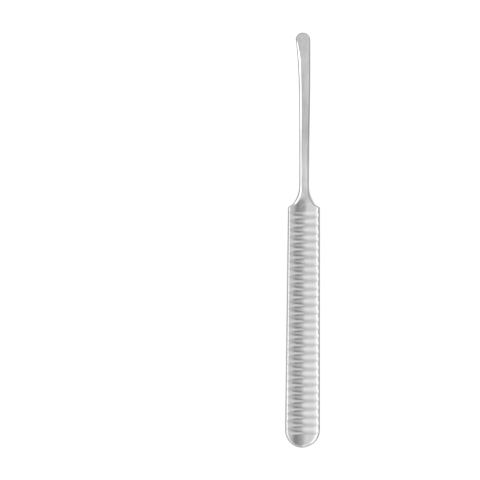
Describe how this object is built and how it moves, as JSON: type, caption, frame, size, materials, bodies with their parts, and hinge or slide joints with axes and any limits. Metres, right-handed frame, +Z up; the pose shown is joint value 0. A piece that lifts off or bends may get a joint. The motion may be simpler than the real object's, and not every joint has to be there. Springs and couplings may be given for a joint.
{
  "type": "periosteal elevator",
  "caption": "One-piece surgical elevator with a slim curved blade, rounded tip, straight shank and a flat oval handle with cross flutes.",
  "frame": {"origin": "under the middle of the instrument's box, on the surface that it lies on", "axes": "+Y from the handle's butt to the blade's tip, +Z up out of the front face, towards which the blade bends, +X across the width"},
  "size_m": [0.0136, 0.16, 0.0093],
  "materials": {
    "steel": "satin polished stainless steel"
  },
  "bodies": {
    "root": {"elevator": "steel"}
  },
  "joints": []
}
